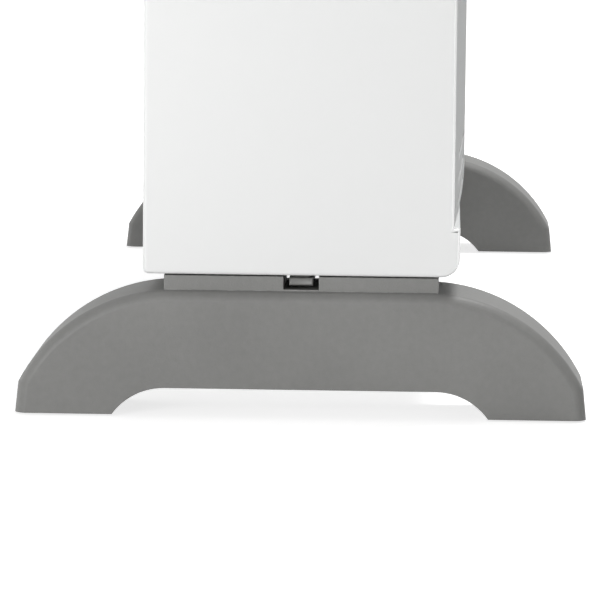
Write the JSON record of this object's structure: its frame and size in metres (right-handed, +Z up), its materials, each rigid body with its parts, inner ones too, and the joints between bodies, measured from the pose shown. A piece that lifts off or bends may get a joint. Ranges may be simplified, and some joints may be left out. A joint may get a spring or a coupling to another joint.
{
  "type": "panel convector heater",
  "caption": "Slim electric panel convector heater with a bowed louvred front, top outlet grille, top controls and clip-on arched feet.",
  "frame": {"origin": "on the floor under the middle of the heater's footprint", "axes": "+X along the length towards the controls, -Y to the front, +Z up"},
  "size_m": [0.53, 0.2, 0.443],
  "materials": {
    "white_paint": "gloss white powder coat",
    "white_gloss": "gloss white moulding",
    "grey_plastic": "fine-textured grey moulding",
    "catch_plastic": "smooth grey moulding",
    "pad_rubber": "matt black rubber",
    "grille_plastic": "fine-textured grey moulding",
    "knob_plastic": "satin dark grey",
    "brown_plastic": "phenolic brown",
    "rocker_plastic": "gloss black",
    "switch_plastic": "black nylon",
    "lens_amber": "translucent amber",
    "fin_aluminium": "bright extruded",
    "steel": "zinc-plated",
    "ceramic": "unglazed cream ceramic",
    "galvanised": "galvanised sheet",
    "terminal_plastic": "natural nylon",
    "wire_sleeve": "silicone sleeve",
    "bush_rubber": "matt black rubber"
  },
  "bodies": {
    "casing": {"front_panel": "white_paint", "rear_panel": "white_paint", "base_tray": "white_paint", "end_cap_left": "white_gloss", "end_cap_right": "white_gloss", "top_grille": "grille_plastic", "control_panel": "grille_plastic", "thermostat_body": "brown_plastic", "thermostat_nut": "steel", "switch_housing_low": "switch_plastic", "switch_housing_high": "switch_plastic", "indicator_lens": "lens_amber", "heating_fins": "fin_aluminium", "element_sheath": "steel", "element_insulators": "ceramic", "element_bracket": "galvanised", "control_partition": "galvanised", "heat_deflector": "galvanised", "thermal_cutout": "steel", "terminal_block": "terminal_plastic", "wire_loom": "wire_sleeve", "cable_bush": "bush_rubber", "screws_cap_left": "steel", "screws_cap_right": "steel", "screws_tray": "steel"},
    "knob": {"thermostat_knob": "knob_plastic", "thermostat_spindle": "steel"},
    "rocker_low": {"rocker_low": "rocker_plastic"},
    "rocker_high": {"rocker_high": "rocker_plastic"},
    "catch_left": {"foot_catch_left": "catch_plastic"},
    "catch_right": {"foot_catch_right": "catch_plastic"},
    "foot_left": {"foot_left": "grey_plastic", "foot_pads_left": "pad_rubber"},
    "foot_right": {"foot_right": "grey_plastic", "foot_pads_right": "pad_rubber"}
  },
  "joints": [
    {"name": "thermostat_turn", "type": "hinge", "parent": "casing", "child": "knob", "pos_m": [0.23, 0.003, 0.43], "axis": [0, 0, -1], "range_deg": [0, 270]},
    {"name": "rocker_low_press", "type": "hinge", "parent": "casing", "child": "rocker_low", "pos_m": [0.19, -0.014, 0.4288], "axis": [-1, 0, 0], "range_deg": [0, 14]},
    {"name": "rocker_high_press", "type": "hinge", "parent": "casing", "child": "rocker_high", "pos_m": [0.19, 0.014, 0.4288], "axis": [-1, 0, 0], "range_deg": [0, 14]},
    {"name": "foot_left_unclip", "type": "slide", "parent": "casing", "child": "foot_left", "axis": [1, 0, 0], "range_m": [0, 0.012]},
    {"name": "foot_right_unclip", "type": "slide", "parent": "casing", "child": "foot_right", "axis": [-1, 0, 0], "range_m": [0, 0.012]},
    {"name": "catch_left_press", "type": "hinge", "parent": "foot_left", "child": "catch_left", "pos_m": [-0.233, 0, 0.0479], "axis": [0, -1, 0], "range_deg": [0, 2.6], "stiffness_Nm_per_rad": 0.6},
    {"name": "catch_right_press", "type": "hinge", "parent": "foot_right", "child": "catch_right", "pos_m": [0.233, 0, 0.0479], "axis": [0, 1, 0], "range_deg": [0, 2.6], "stiffness_Nm_per_rad": 0.6}
  ],
  "couplings": [
    {"joint": "catch_left_press", "follows": "foot_left_unclip", "rad_per_m": 3.7},
    {"joint": "catch_right_press", "follows": "foot_right_unclip", "rad_per_m": 3.7}
  ]
}
